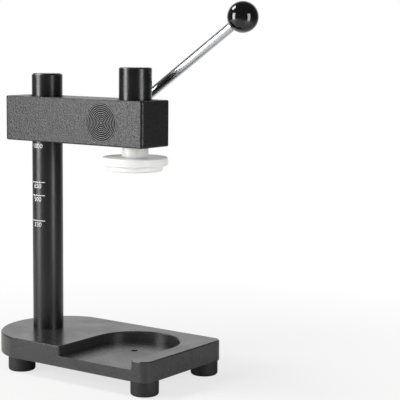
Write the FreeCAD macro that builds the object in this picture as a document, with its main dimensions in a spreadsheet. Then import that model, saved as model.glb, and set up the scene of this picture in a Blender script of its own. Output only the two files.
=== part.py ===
import FreeCAD, Part
import math
import os
import Sketcher

# Hand lever press that closes the lids of drink cans.
# A flat base plate with a nest for the can carries a round column. An arm slides and turns on the
# column and holds a rack-toothed ram with a white press head. A lever behind the arm turns a pinion,
# and the pinion drives the ram.
#
# Frame: the origin is on the axis of the ram and the nest, at the nest's floor. +Z is up, +X points
# from the column to the ram, and -Y is the open front of the nest. All lengths are in millimetres.

doc = FreeCAD.newDocument("can_press")
sheet = doc.addObject("Spreadsheet::Sheet", "sizes")

SIZES = {
    # base plate
    "base_length": 212,
    "base_width": 120,
    "base_thickness": 19.5,
    "base_reach": 61,
    "base_corner": 9,
    "end_swell": 2,
    "end_corner": 8,
    "base_chamfer": 1,
    "nest_diameter": 86,
    "nest_depth": 9,
    "nest_ledge": 0.8,
    "mouth_round": 1.5,
    "nest_hole": 6.6,
    # rubber feet
    "foot_diameter": 26,
    "foot_height": 14,
    "foot_round": 2.5,
    "foot_inset_left": 48.5,
    "foot_inset_right": 12.5,
    "foot_inset_side": 13.5,
    "foot_bore": 12,
    "foot_web": 6,
    "foot_screw_size": 5,
    "foot_screw_grip": 10,
    "foot_screw_head": 9.5,
    "foot_screw_head_height": 3.8,
    "foot_washer_thickness": 1.2,
    # column
    "column_pitch": 110,
    "column_diameter": 30,
    "column_height": 252,
    "column_seat": 4,
    "column_chamfer": 1.5,
    "column_screw_size": 10,
    "column_screw_head": 16,
    "column_screw_head_height": 10,
    "column_screw_web": 4.5,
    "column_screw_grip": 24,
    # arm
    "arm_nose": 24.5,
    "arm_tail": 36.5,
    "arm_width": 42,
    "arm_height": 43.5,
    "arm_level": 186.5,
    "arm_corner": 3,
    "arm_edge_round": 1.5,
    "liner_wall": 2.5,
    "liner_length": 12,
    "liner_inset": 0.5,
    "waist_gap": 0.5,
    # ram and rack
    "ram_diameter": 31,
    "ram_rise": 30,
    "ram_chamfer": 1,
    "ram_bush_wall": 2,
    "ram_bush_length": 7,
    "rack_inset": 3.5,
    "gear_module": 1.5,
    "gear_teeth": 16,
    "pressure_angle": 20,
    "gear_root_depth": 1.25,
    "gear_backlash": 0.24,
    "gear_width": 14,
    "gear_side_gap": 0.4,
    "chamber_gap": 0.5,
    "rack_width": 15.2,
    "rack_teeth": 10,
    "rack_teeth_below": 4,
    # pinion shaft and its bearings
    "journal_diameter": 14,
    "pinion_bush_wall": 2,
    "cap_diameter": 36,
    "cap_flange": 5,
    "cap_rings": 9,
    "cap_ring_pitch": 1.8,
    "cap_ring_depth": 0.5,
    "thrust_washer_diameter": 28,
    "thrust_washer_thickness": 1,
    "disc_spring_thickness": 0.9,
    "disc_spring_height": 1.8,
    # lever
    "hub_diameter": 36,
    "hub_width": 16,
    "hub_flat": 8.5,
    "hub_chamfer": 1,
    "hub_seat_diameter": 12,
    "hub_screw_size": 6,
    "hub_screw_grip": 14,
    "hub_washer_diameter": 18,
    "hub_washer_thickness": 1.6,
    "set_screw_size": 5,
    "set_screw_length": 9,
    "lever_angle": 34.8,
    "lever_reach": 156.5,
    "rod_offset": 11.4,
    "rod_diameter": 9.2,
    "rod_thread": 8,
    "rod_grip": 16,
    "ball_diameter": 28.8,
    "ball_flat": 13,
    "insert_diameter": 12,
    "insert_length": 15,
    # press head
    "neck_diameter": 25,
    "neck_length": 9.8,
    "flange_step": 4.7,
    "flange_thickness": 7.9,
    "flange_round": 1.6,
    "disc_diameter": 52.6,
    "disc_thickness": 5.3,
    "disc_round": 2.4,
    "spigot_diameter": 16,
    "spigot_length": 8,
    "head_screw_size": 6,
    "head_screw_grip": 14,
    "head_screw_web": 9,
    # column clamp
    "clamp_thread": 8,
    "clamp_pad_thickness": 2.5,
    "clamp_grip": 14,
    "knob_diameter": 40,
    "knob_thickness": 14,
    "knob_boss_diameter": 20,
    "knob_boss_length": 6,
    "knob_gap": 2,
    "knob_lobes": 6,
    "knob_scallop": 14,
    "knob_round": 1.5,
    # proportions of a socket-head screw, as shares of its thread size
    "screw_head_share": 0.83,
    "screw_recess_share": 0.9,
    "screw_socket_share": 0.8,
    "screw_bevel_share": 0.1,
    # fits
    "running_fit": 0.05,
    "seat_gap": 0.05,
    "hole_end_gap": 1,
    "pad_gap": 0.05,
}


class Size:
    """A size: its number now, and the sheet expression that gives it."""

    def __init__(self, number, text):
        self.number = number
        self.text = text

    def __add__(self, other):
        other = as_size(other)
        return Size(self.number + other.number, f"({self.text} + {other.text})")

    def __sub__(self, other):
        other = as_size(other)
        return Size(self.number - other.number, f"({self.text} - {other.text})")

    def __rsub__(self, other):
        return as_size(other) - self

    def __mul__(self, other):
        other = as_size(other)
        return Size(self.number * other.number, f"({self.text} * {other.text})")

    def __truediv__(self, other):
        other = as_size(other)
        return Size(self.number / other.number, f"({self.text} / {other.text})")

    def __neg__(self):
        return Size(-self.number, f"(-1 * {self.text})")


def as_size(value):
    return value if isinstance(value, Size) else Size(value, f"{value}")


def root(size):
    return Size(math.sqrt(size.number), f"sqrt({size.text})")


def sine(size):
    return Size(math.sin(math.radians(size.number)), f"sin({size.text} * 1 deg)")


def cosine(size):
    return Size(math.cos(math.radians(size.number)), f"cos({size.text} * 1 deg)")


def tangent(size):
    return sine(size) / cosine(size)


class Cells:
    """The sheet's cells by alias, each as a Size."""


def fill_sheet():
    cells = Cells()
    for row, (alias, number) in enumerate(SIZES.items(), start=1):
        sheet.set(f"A{row}", alias)
        sheet.set(f"B{row}", f"{number}")
        sheet.setAlias(f"B{row}", alias)
        setattr(cells, alias, Size(number, f"sizes.{alias}"))
    doc.recompute()
    return cells


s = fill_sheet()

# ---- places that several pieces share -----------------------------------------------------------

base_top = s.nest_depth
base_underside = base_top - s.base_thickness
floor_level = base_underside - s.foot_height
column_x = -s.column_pitch
arm_underside = base_top + s.arm_level
arm_top = arm_underside + s.arm_height
axis_level = arm_underside + s.arm_height / 2
arm_rear = s.arm_width / 2
pitch_radius = s.gear_module * s.gear_teeth / 2
tip_radius = pitch_radius + s.gear_module
root_radius = pitch_radius - s.gear_module * s.gear_root_depth
chamber_radius = tip_radius + s.chamber_gap
gear_half = s.gear_width / 2
journal_radius = s.journal_diameter / 2
pinion_bush_outer = journal_radius + s.running_fit + s.pinion_bush_wall
rack_line = s.ram_diameter / 2 - s.rack_inset
pinion_x = -(rack_line + pitch_radius)
hub_front = arm_rear + s.thrust_washer_thickness + s.disc_spring_height
hub_rear = hub_front + s.hub_width
rod_level = hub_front + s.hub_width / 2
rod_shoulder_edge = s.rod_offset - s.rod_diameter / 2 - s.hole_end_gap
ball_flat_distance = root(s.ball_diameter * s.ball_diameter - s.ball_flat * s.ball_flat) / 2
rod_in_ball = s.insert_length - s.hole_end_gap * 2
liner_outer = s.column_diameter / 2 + s.running_fit + s.liner_wall
ram_bush_outer = s.ram_diameter / 2 + s.running_fit + s.ram_bush_wall
pad_front = s.column_diameter / 2 + s.pad_gap
stud_front = pad_front + s.clamp_pad_thickness


# ---- drawing aids -------------------------------------------------------------------------------

def bind(item, prop, size):
    item.setExpression(prop, as_size(size).text)


def place(item, x, y, z, pitch=0, roll=0):
    """Puts a piece at x, y, z, turned by roll about X and then by pitch about Y."""
    x, y, z, pitch, roll = [as_size(value) for value in (x, y, z, pitch, roll)]
    spot = f"create(<<vector>>; {x.text}; {y.text}; {z.text})"
    turn = f"create(<<rotation>>; 0; {pitch.text}; {roll.text})"
    item.setExpression("Placement", f"create(<<placement>>; {spot}; {turn})")


def new_body(label):
    body = doc.addObject("PartDesign::Body", label)
    body.Label = label
    return body


def origin_item(body, role):
    return [item for item in body.Origin.OriginFeatures if item.Role == role][0]


def new_sketch(body, name, plane="XZ_Plane", height=0):
    """A sketch on one of the body's own origin planes, moved along the plane's normal."""
    sketch = body.newObject("Sketcher::SketchObject", name)
    sketch.AttachmentSupport = [(origin_item(body, plane), "")]
    sketch.MapMode = "FlatFace"
    bind(sketch, "AttachmentOffset.Base.z", height)
    return sketch


def pin_one_way(sketch, kind, axis, item, end, size):
    size = as_size(size)
    if size.number == 0:
        sketch.addConstraint(Sketcher.Constraint("PointOnObject", item, end, axis))
    else:
        index = sketch.addConstraint(Sketcher.Constraint(kind, -1, 1, item, end, size.number))
        bind(sketch, f"Constraints[{index}]", size)


def pin_across(sketch, item, end, x):
    pin_one_way(sketch, "DistanceX", -2, item, end, x)


def pin_height(sketch, item, end, y):
    pin_one_way(sketch, "DistanceY", -1, item, end, y)


def pin_point(sketch, item, end, x, y):
    """Fixes a point of a sketch item at x, y."""
    pin_across(sketch, item, end, x)
    pin_height(sketch, item, end, y)


def draw_polygon(sketch, corners):
    corners = [(as_size(x), as_size(y)) for x, y in corners]
    points = [FreeCAD.Vector(x.number, y.number, 0) for x, y in corners]
    first = sketch.GeometryCount
    count = len(points)
    for index in range(count):
        line = Part.LineSegment(points[index], points[(index + 1) % count])
        sketch.addGeometry(line, False)
    for index in range(count):
        here = first + index
        after = first + (index + 1) % count
        sketch.addConstraint(Sketcher.Constraint("Coincident", here, 2, after, 1))
    for index, (x, y) in enumerate(corners):
        pin_point(sketch, first + index, 1, x, y)


def draw_chain(sketch, corners):
    """Straight lines from corner to corner, left open, with nothing fixed yet."""
    points = [FreeCAD.Vector(as_size(x).number, as_size(y).number, 0) for x, y in corners]
    for first, second in zip(points[:-1], points[1:]):
        sketch.addGeometry(Part.LineSegment(first, second), False)


def join_ends(sketch, *pairs):
    """Joins ends of items: each pair is (item, end, item, end), with 1 for a start and 2 for an end."""
    for pair in pairs:
        sketch.addConstraint(Sketcher.Constraint("Coincident", *pair))


def rule(sketch, *words):
    sketch.addConstraint(Sketcher.Constraint(*words))


def draw_circle(sketch, x, y, radius):
    centre = FreeCAD.Vector(as_size(x).number, as_size(y).number, 0)
    item = sketch.addGeometry(Part.Circle(centre, FreeCAD.Vector(0, 0, 1), radius.number), False)
    fix_round(sketch, item, x, y, radius)


def draw_arc(sketch, x, y, radius, start, end):
    """An arc about x, y from the start angle to the end angle, in degrees; nothing is fixed yet."""
    centre = FreeCAD.Vector(as_size(x).number, as_size(y).number, 0)
    circle = Part.Circle(centre, FreeCAD.Vector(0, 0, 1), radius.number)
    arc = Part.ArcOfCircle(circle, math.radians(start), math.radians(end))
    return sketch.addGeometry(arc, False)


def fix_round(sketch, item, x, y, radius):
    """Fixes the centre and the radius of an arc or a circle."""
    pin_point(sketch, item, 3, x, y)
    index = sketch.addConstraint(Sketcher.Constraint("Radius", item, radius.number))
    bind(sketch, f"Constraints[{index}]", radius)


def turn_profile(body, name, *outlines, kind="PartDesign::Revolution"):
    """Turns closed outlines of radius and height pairs about the body's Z axis."""
    sketch = new_sketch(body, f"{name}_outline")
    for corners in outlines:
        draw_polygon(sketch, corners)
    feature = body.newObject(kind, name)
    feature.Profile = sketch
    feature.ReferenceAxis = (sketch, ["V_Axis"])
    feature.Angle = 360
    doc.recompute()
    return feature


def pad(body, name, sketch, length):
    feature = body.newObject("PartDesign::Pad", name)
    feature.Profile = sketch
    bind(feature, "Length", length)
    doc.recompute()
    return feature


def pocket(body, name, sketch, depth=None, upward=False):
    """Cuts down from the sketch by depth, or up, or right through both ways with no depth."""
    before = body.Shape.Volume
    feature = body.newObject("PartDesign::Pocket", name)
    feature.Profile = sketch
    if depth is None:
        feature.Type = 1
        feature.Midplane = True
    else:
        bind(feature, "Length", depth)
        feature.Reversed = upward
    doc.recompute()
    if not body.Shape.Volume < before - 1e-6:
        raise RuntimeError(f"{body.Label}: {name} cuts nothing")
    return feature


def drill(body, name, plane, x, y, radius, height=0, depth=None, upward=False):
    sketch = new_sketch(body, f"{name}_circle", plane, height)
    draw_circle(sketch, x, y, as_size(radius))
    return pocket(body, name, sketch, depth, upward)


def edges_of(feature, test):
    names = []
    for index, edge in enumerate(feature.Shape.Edges, start=1):
        if test(edge):
            names.append(f"Edge{index}")
    if not names:
        raise RuntimeError(f"{feature.Label}: no edge to finish")
    return names


def finish_edges(body, name, kind, size, test):
    """Rounds (Fillet) or bevels (Chamfer) the edges that the test picks."""
    base = body.Tip
    feature = body.newObject(f"PartDesign::{kind}", name)
    feature.Base = (base, edges_of(base, test))
    bind(feature, "Radius" if kind == "Fillet" else "Size", size)
    doc.recompute()
    return feature


def is_ring(radius, level):
    """A test for a full circle about the body's Z axis."""
    radius = as_size(radius).number
    level = as_size(level).number

    def test(edge):
        curve = edge.Curve
        if not isinstance(curve, Part.Circle):
            return False
        middle = curve.Center
        on_axis = math.hypot(middle.x, middle.y) < 1e-4
        return on_axis and abs(curve.Radius - radius) < 1e-4 and abs(middle.z - level) < 1e-4

    return test


def is_upright(edge):
    if not isinstance(edge.Curve, Part.Line):
        return False
    return abs(edge.Curve.Direction.z) > 0.999


def stands_at(edge, x):
    return abs(edge.BoundBox.XMax - x.number) < 1e-4


def lies_at(edge, level):
    box = edge.BoundBox
    return abs(box.ZMin - level.number) < 1e-4 and abs(box.ZMax - level.number) < 1e-4


def washer(label, inner, outer, thickness):
    """A flat ring that stands on its own XY plane."""
    body = new_body(label)
    corners = [(inner, 0), (outer, 0), (outer, thickness), (inner, thickness)]
    turn_profile(body, "ring", corners)
    return body


def hexagon(across):
    """Corners of a hexagon of this width across flats."""
    radius = across / 3 ** 0.5
    corners = []
    for step in range(6):
        angle = math.radians(60 * step)
        corners.append((radius * round(math.cos(angle), 6), radius * round(math.sin(angle), 6)))
    return corners


def cap_screw(label, size, grip, head_radius, head_height):
    """A socket-head screw: the head stands above its own XY plane, the shank goes down from it."""
    body = new_body(label)
    shank = size / 2
    bevel = size * s.screw_bevel_share
    corners = [(0, -grip), (shank - bevel, -grip), (shank, bevel - grip), (shank, 0),
               (head_radius, 0), (head_radius, head_height - bevel),
               (head_radius - bevel, head_height), (0, head_height)]
    turn_profile(body, "turning", corners)
    sketch = new_sketch(body, "socket_outline", "XY_Plane", head_height)
    draw_polygon(sketch, hexagon(size * s.screw_socket_share))
    pocket(body, "socket", sketch, head_height / 2)
    return body


# ---- base plate and feet ------------------------------------------------------------------------

foot_right = s.base_reach - s.foot_inset_right
foot_left = s.base_reach - s.base_length + s.foot_inset_left
foot_side = s.base_width / 2 - s.foot_inset_side


def cut_nest(body, name, radius, depth, mouth):
    """Cuts the nest: half round at the back, with straight walls to a mouth in the front face."""
    front = -s.base_width / 2
    outside = front - s.hole_end_gap
    wide = radius + mouth
    bend = front + mouth
    sketch = new_sketch(body, f"{name}_outline", "XY_Plane", base_top)
    draw_chain(sketch, [(-radius, 0), (-radius, bend)])
    draw_arc(sketch, -wide, bend, mouth, -90, 0)
    draw_chain(sketch, [(-wide, front), (-wide, outside), (wide, outside), (wide, front)])
    draw_arc(sketch, wide, bend, mouth, 180, 270)
    draw_chain(sketch, [(radius, bend), (radius, 0)])
    draw_arc(sketch, 0, 0, radius, 0, 180)
    left_wall, left_arc, left_side, outer, right_side, right_arc, right_wall, back = range(8)
    join_ends(sketch, (left_wall, 2, left_arc, 2), (left_arc, 1, left_side, 1),
              (left_side, 2, outer, 1), (outer, 2, right_side, 1), (right_side, 2, right_arc, 2),
              (right_arc, 1, right_wall, 1), (right_wall, 2, back, 1), (back, 2, left_wall, 1))
    fix_round(sketch, back, 0, 0, radius)
    rule(sketch, "PointOnObject", back, 1, -1)
    rule(sketch, "PointOnObject", back, 2, -1)
    for wall, arc, corner, x in ((left_wall, left_arc, 2, -wide), (right_wall, right_arc, 1, wide)):
        rule(sketch, "Vertical", wall)
        pin_height(sketch, wall, corner, bend)
        pin_across(sketch, arc, 3, x)
    pin_point(sketch, left_side, 1, -wide, front)
    pin_point(sketch, left_side, 2, -wide, outside)
    pin_point(sketch, right_side, 1, wide, outside)
    pin_point(sketch, right_side, 2, wide, front)
    pocket(body, name, sketch, depth)


def make_base_plate():
    """A thick plate, square at the nest end and swept round at the column end."""
    body = new_body("base_plate")
    half = s.base_width / 2
    right = s.base_reach
    sweep = half + s.end_swell
    middle = right - s.base_length + sweep
    start = middle - root(sweep * sweep - half * half)
    swing = math.degrees(math.acos((start - middle).number / sweep.number))

    outline = new_sketch(body, "plate_outline", "XY_Plane", base_underside)
    draw_chain(outline, [(start, -half), (right, -half), (right, half), (start, half)])
    arc = draw_arc(outline, middle, 0, sweep, swing, 360 - swing)
    join_ends(outline, (0, 2, 1, 1), (1, 2, 2, 1), (2, 2, arc, 1), (arc, 2, 0, 1))
    fix_round(outline, arc, middle, 0, sweep)
    rule(outline, "Horizontal", 0)
    rule(outline, "Horizontal", 2)
    pin_point(outline, 1, 1, right, -half)
    pin_point(outline, 1, 2, right, half)
    pad(body, "plate", outline, s.base_thickness)
    finish_edges(body, "square_corners", "Fillet", s.base_corner,
                 lambda edge: is_upright(edge) and stands_at(edge, right))
    finish_edges(body, "swept_corners", "Fillet", s.end_corner,
                 lambda edge: is_upright(edge) and stands_at(edge, start))

    cut_nest(body, "nest", s.nest_diameter / 2, s.nest_depth - s.nest_ledge, s.mouth_round)
    inner = s.nest_diameter / 2 - s.nest_ledge
    cut_nest(body, "nest_floor", inner, s.nest_depth, s.mouth_round)
    finish_edges(body, "top_bevel", "Chamfer", s.base_chamfer, lambda edge: lies_at(edge, base_top))

    drill(body, "nest_hole", "XY_Plane", 0, 0, s.nest_hole / 2)
    seat = s.column_diameter / 2 + s.seat_gap
    drill(body, "column_seat", "XY_Plane", column_x, 0, seat, base_top, s.column_seat)
    shank = s.column_screw_size / 2 + s.seat_gap
    drill(body, "column_screw_hole", "XY_Plane", column_x, 0, shank)
    head = s.column_screw_head / 2 + s.hole_end_gap
    head_depth = s.base_thickness - s.column_seat - s.column_screw_web
    drill(body, "column_screw_recess", "XY_Plane", column_x, 0, head, base_underside, head_depth, True)
    sketch = new_sketch(body, "foot_hole_circles", "XY_Plane", base_underside)
    for x in (foot_left, foot_right):
        for y in (-foot_side, foot_side):
            draw_circle(sketch, x, y, s.foot_screw_size / 2 + s.seat_gap)
    pocket(body, "foot_holes", sketch, s.foot_screw_grip + s.hole_end_gap, True)
    return body


def make_foot(label, x, y):
    """A rubber buffer with a deep bore for its screw."""
    body = new_body(label)
    outer = s.foot_diameter / 2
    shank = s.foot_screw_size / 2 + s.seat_gap
    bore = s.foot_bore / 2
    step = s.foot_height - s.foot_web
    corners = [(bore, 0), (outer, 0), (outer, s.foot_height), (shank, s.foot_height),
               (shank, step), (bore, step)]
    turn_profile(body, "moulding", corners)
    finish_edges(body, "lower_round", "Fillet", s.foot_round, is_ring(outer, 0))
    place(body, x, y, floor_level)
    return body


def spread_to_feet(body, feature):
    """Repeats a turned piece at all four feet, as separate solids of one body."""
    grid = body.newObject("PartDesign::LinearPattern", "at_each_foot")
    grid.Originals = [feature]
    grid.Direction = (origin_item(body, "X_Axis"), [""])
    grid.Occurrences = 2
    bind(grid, "Length", foot_right - foot_left)
    grid.Direction2 = (origin_item(body, "Y_Axis"), [""])
    grid.Occurrences2 = 2
    bind(grid, "Length2", foot_side * 2)
    body.Tip = grid
    doc.recompute()


def make_foot_washers():
    body = new_body("foot_washers")
    inner = s.foot_screw_size / 2 + s.seat_gap
    outer = s.foot_bore / 2 - s.seat_gap
    thickness = s.foot_washer_thickness
    corners = [(inner, -thickness), (outer, -thickness), (outer, 0), (inner, 0)]
    ring = turn_profile(body, "ring", corners)
    spread_to_feet(body, ring)
    place(body, foot_left, -foot_side, base_underside - s.foot_web)


def make_foot_screws():
    """Four screws with low heads; each grips the plate through its foot's washer."""
    body = new_body("foot_screws")
    shank = s.foot_screw_size / 2
    head = s.foot_screw_head / 2
    height = s.foot_screw_head_height
    top = s.foot_washer_thickness + s.foot_web + s.foot_screw_grip
    bevel = s.foot_screw_size * s.screw_bevel_share
    corners = [(0, -height), (head - bevel * 2, -height), (head, bevel * 2 - height), (head, 0),
               (shank, 0), (shank, top - bevel), (shank - bevel, top), (0, top)]
    screw = turn_profile(body, "turning", corners)
    spread_to_feet(body, screw)
    place(body, foot_left, -foot_side, base_underside - s.foot_web - s.foot_washer_thickness)


# ---- column -------------------------------------------------------------------------------------

def make_column():
    """A plain round bar, bevelled at both ends and tapped below for its screw."""
    body = new_body("column")
    radius = s.column_diameter / 2
    length = s.column_height + s.column_seat
    bevel = s.column_chamfer
    tap = s.column_screw_size / 2 + s.seat_gap
    depth = s.column_screw_grip + s.hole_end_gap
    corners = [(tap, 0), (radius - bevel, 0), (radius, bevel), (radius, length - bevel),
               (radius - bevel, length), (0, length), (0, depth), (tap, depth)]
    turn_profile(body, "bar", corners)
    place(body, column_x, 0, base_top - s.column_seat)


def make_column_screw():
    body = cap_screw("column_screw", s.column_screw_size, s.column_screw_web + s.column_screw_grip,
                     s.column_screw_head / 2, s.column_screw_head_height)
    place(body, column_x, 0, base_top - s.column_seat - s.column_screw_web, 180)


# ---- arm ----------------------------------------------------------------------------------------

def make_arm_block():
    """A rectangular bar bored for the column, the ram, the pinion and the clamp."""
    body = new_body("arm_block")
    tail = column_x - s.arm_tail
    bar = new_sketch(body, "bar_outline", "XY_Plane", arm_underside)
    draw_polygon(bar, [(tail, -arm_rear), (s.arm_nose, -arm_rear), (s.arm_nose, arm_rear),
                       (tail, arm_rear)])
    pad(body, "bar", bar, s.arm_height)
    finish_edges(body, "corner_rounds", "Fillet", s.arm_corner, is_upright)
    finish_edges(body, "edge_rounds", "Fillet", s.arm_edge_round,
                 lambda edge: lies_at(edge, arm_top) or lies_at(edge, arm_underside))

    waist = s.column_diameter / 2 + s.waist_gap
    seat = liner_outer + s.running_fit
    depth = s.liner_length + s.liner_inset
    drill(body, "column_bore", "XY_Plane", column_x, 0, waist)
    drill(body, "lower_liner_bore", "XY_Plane", column_x, 0, seat, arm_underside, depth, True)
    drill(body, "upper_liner_bore", "XY_Plane", column_x, 0, seat, arm_top, depth)

    waist = s.ram_diameter / 2 + s.waist_gap
    seat = ram_bush_outer + s.seat_gap
    drill(body, "ram_bore", "XY_Plane", 0, 0, waist)
    drill(body, "lower_bush_bore", "XY_Plane", 0, 0, seat, arm_underside, s.ram_bush_length, True)
    drill(body, "upper_bush_bore", "XY_Plane", 0, 0, seat, arm_top, s.ram_bush_length)

    # The pinion goes in from the front, where the cap closes its chamber, and its shaft comes out
    # at the back. The height of a sketch on the XZ plane counts towards -Y.
    outside = arm_rear + s.hole_end_gap
    seat = pinion_bush_outer + s.seat_gap
    chamber = outside + gear_half + s.gear_side_gap
    cap = s.cap_diameter / 2 + s.seat_gap
    cap_depth = s.cap_flange + s.hole_end_gap
    drill(body, "shaft_bore", "XZ_Plane", pinion_x, axis_level, seat)
    drill(body, "gear_chamber", "XZ_Plane", pinion_x, axis_level, chamber_radius, outside, chamber)
    drill(body, "cap_seat", "XZ_Plane", pinion_x, axis_level, cap, outside, cap_depth)
    clamp = s.clamp_thread / 2 + s.running_fit
    clamp_depth = outside - s.column_diameter / 4
    drill(body, "clamp_hole", "XZ_Plane", column_x, axis_level, clamp, -outside, clamp_depth, True)


def make_liner(label, level):
    """A plastic sleeve between the column and the arm."""
    body = new_body(label)
    inner = s.column_diameter / 2 + s.running_fit
    corners = [(inner, 0), (liner_outer, 0), (liner_outer, s.liner_length), (inner, s.liner_length)]
    turn_profile(body, "sleeve", corners)
    place(body, column_x, 0, level)


def make_ram_bush(label, level):
    body = new_body(label)
    inner = s.ram_diameter / 2 + s.running_fit
    height = s.ram_bush_length
    corners = [(inner, 0), (ram_bush_outer, 0), (ram_bush_outer, height), (inner, height)]
    turn_profile(body, "sleeve", corners)
    place(body, 0, 0, level)


def make_pinion_cap():
    """The front bearing cover, turned with rings on its face; it holds the front bush."""
    body = new_body("pinion_cap")
    face = s.cap_diameter / 2
    boss = chamber_radius - s.seat_gap
    bore = pinion_bush_outer + s.seat_gap
    depth = arm_rear - gear_half - s.gear_side_gap
    floor = s.cap_flange
    corners = [(0, 0), (face, 0), (face, s.cap_flange), (boss, s.cap_flange), (boss, depth),
               (bore, depth), (bore, floor), (0, floor)]
    turn_profile(body, "turning", corners)
    half = s.cap_ring_pitch / 4
    grooves = []
    for ring in range(1, SIZES["cap_rings"] + 1):
        radius = face - s.cap_ring_pitch * ring
        grooves.append([(radius - half, 0), (radius, s.cap_ring_depth), (radius + half, 0)])
    turn_profile(body, "rings", *grooves, kind="PartDesign::Groove")
    # The boss is hollowed where it would stand in the ram's bore.
    relief = s.ram_diameter / 2 + s.waist_gap
    drill(body, "ram_relief", "XZ_Plane", -pinion_x, arm_rear, relief)
    place(body, pinion_x, -arm_rear, axis_level, 0, -90)


def make_pinion_bush(label, front, length):
    body = new_body(label)
    inner = journal_radius + s.running_fit
    corners = [(inner, 0), (pinion_bush_outer, 0), (pinion_bush_outer, length), (inner, length)]
    turn_profile(body, "sleeve", corners)
    place(body, pinion_x, front, axis_level, 0, -90)


def make_thrust_washer():
    body = washer("thrust_washer", journal_radius + s.running_fit, s.thrust_washer_diameter / 2,
                  s.thrust_washer_thickness)
    place(body, pinion_x, arm_rear, axis_level, 0, -90)


def make_clamp_pad():
    """A brass pad that the clamp screw pushes against the column."""
    body = new_body("clamp_pad")
    radius = s.clamp_thread / 2
    corners = [(0, 0), (radius, 0), (radius, s.clamp_pad_thickness), (0, s.clamp_pad_thickness)]
    turn_profile(body, "disc", corners)
    place(body, column_x, pad_front, axis_level, 0, -90)


# ---- clamp knob ---------------------------------------------------------------------------------

def make_clamp_screw():
    body = new_body("clamp_screw")
    radius = s.clamp_thread / 2
    bevel = radius / 4
    length = arm_rear - stud_front + s.knob_gap + s.clamp_grip
    corners = [(0, 0), (radius - bevel, 0), (radius, bevel), (radius, length - bevel),
               (radius - bevel, length), (0, length)]
    turn_profile(body, "stud", corners)
    place(body, column_x, stud_front, axis_level, 0, -90)


def make_clamp_knob():
    """A lobed hand knob with a round boss towards the arm."""
    body = new_body("clamp_knob")
    boss = s.knob_boss_diameter / 2
    bore = s.clamp_thread / 2 + s.seat_gap
    rim = s.knob_diameter / 2
    back = s.knob_boss_length
    top = back + s.knob_thickness
    depth = s.clamp_grip + s.hole_end_gap
    corners = [(bore, 0), (boss, 0), (boss, back), (rim, back), (rim, top), (0, top), (0, depth),
               (bore, depth)]
    turn_profile(body, "turning", corners)
    finish_edges(body, "rim_rounds", "Fillet", s.knob_round * 2, is_ring(rim, top))
    reach = rim + s.knob_scallop / 4
    sketch = new_sketch(body, "scallop_circle", "XY_Plane", back)
    draw_circle(sketch, reach, 0, s.knob_scallop / 2)
    scallop = pocket(body, "scallop", sketch, s.knob_thickness + s.hole_end_gap, True)
    pattern = body.newObject("PartDesign::PolarPattern", "scallops")
    pattern.Originals = [scallop]
    pattern.Axis = (sketch, ["N_Axis"])
    pattern.Angle = 360
    bind(pattern, "Occurrences", s.knob_lobes)
    body.Tip = pattern
    doc.recompute()
    place(body, column_x, arm_rear + s.knob_gap, axis_level, 0, -90)


# ---- ram and press head -------------------------------------------------------------------------

def make_ram():
    """A round bar with a rack cut across the flat on its column side."""
    body = new_body("ram")
    radius = s.ram_diameter / 2
    length = s.arm_height + s.ram_rise
    bevel = s.ram_chamfer
    spigot = s.spigot_diameter / 2 + s.seat_gap
    step = s.spigot_length + s.seat_gap
    tap = s.head_screw_size / 2 + s.seat_gap
    depth = step + s.head_screw_grip + s.hole_end_gap
    corners = [(spigot, 0), (radius - bevel / 2, 0), (radius, bevel / 2), (radius, length - bevel),
               (radius - bevel, length), (0, length), (0, depth), (tap, depth), (tap, step),
               (spigot, step)]
    turn_profile(body, "bar", corners)

    pitch = s.gear_module * math.pi
    mesh = s.arm_height / 2
    first = mesh - pitch * s.rack_teeth_below
    crest = rack_line + s.gear_module
    valley = rack_line - s.gear_module * s.gear_root_depth
    outside = radius + s.hole_end_gap
    span = pitch * s.rack_teeth
    front = s.rack_width / 2
    flat = new_sketch(body, "flat_outline", "XZ_Plane", front)
    draw_polygon(flat, [(-outside, first), (-crest, first), (-crest, first + span),
                        (-outside, first + span)])
    pocket(body, "rack_flat", flat, s.rack_width)

    slope = tangent(s.pressure_angle)
    half = (pitch / 2 + s.gear_backlash) / 2
    narrow = half - (rack_line - valley) * slope
    middle = first + pitch / 2
    mouth = crest + s.gear_module / 2
    flare = half + (mouth - rack_line) * slope
    gap = new_sketch(body, "gap_outline", "XZ_Plane", front)
    draw_polygon(gap, [(-valley, middle - narrow), (-valley, middle + narrow),
                       (-mouth, middle + flare), (-mouth, middle - flare)])
    space = pocket(body, "rack_space", gap, s.rack_width)
    rack = body.newObject("PartDesign::LinearPattern", "rack")
    rack.Originals = [space]
    rack.Direction = (gap, ["V_Axis"])
    bind(rack, "Occurrences", s.rack_teeth)
    bind(rack, "Length", pitch * (s.rack_teeth - 1))
    body.Tip = rack
    doc.recompute()
    place(body, 0, 0, arm_underside)


def make_press_head():
    """The white head: a neck, a flange over the lid's rim and a disc that enters the lid."""
    body = new_body("press_head")
    neck = s.neck_diameter / 2
    disc = s.disc_diameter / 2
    flange = disc + s.flange_step
    spigot = s.spigot_diameter / 2
    hole = s.head_screw_size / 2 + s.seat_gap
    bore = s.head_screw_size * s.screw_recess_share
    under_neck = -s.neck_length
    under_flange = under_neck - s.flange_thickness
    bottom = under_flange - s.disc_thickness
    shelf = s.spigot_length - s.head_screw_web
    corners = [(hole, s.spigot_length), (spigot, s.spigot_length), (spigot, 0), (neck, 0),
               (neck, under_neck), (flange, under_neck), (flange, under_flange),
               (disc, under_flange), (disc, bottom), (bore, bottom), (bore, shelf), (hole, shelf)]
    turn_profile(body, "turning", corners)
    finish_edges(body, "flange_rounds", "Fillet", s.flange_round,
                 lambda edge: is_ring(flange, under_neck)(edge) or is_ring(flange, under_flange)(edge))
    finish_edges(body, "disc_round", "Fillet", s.disc_round, is_ring(disc, bottom))
    finish_edges(body, "neck_fillet", "Fillet", s.flange_round / 2, is_ring(neck, under_neck))
    place(body, 0, 0, arm_underside)


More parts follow.
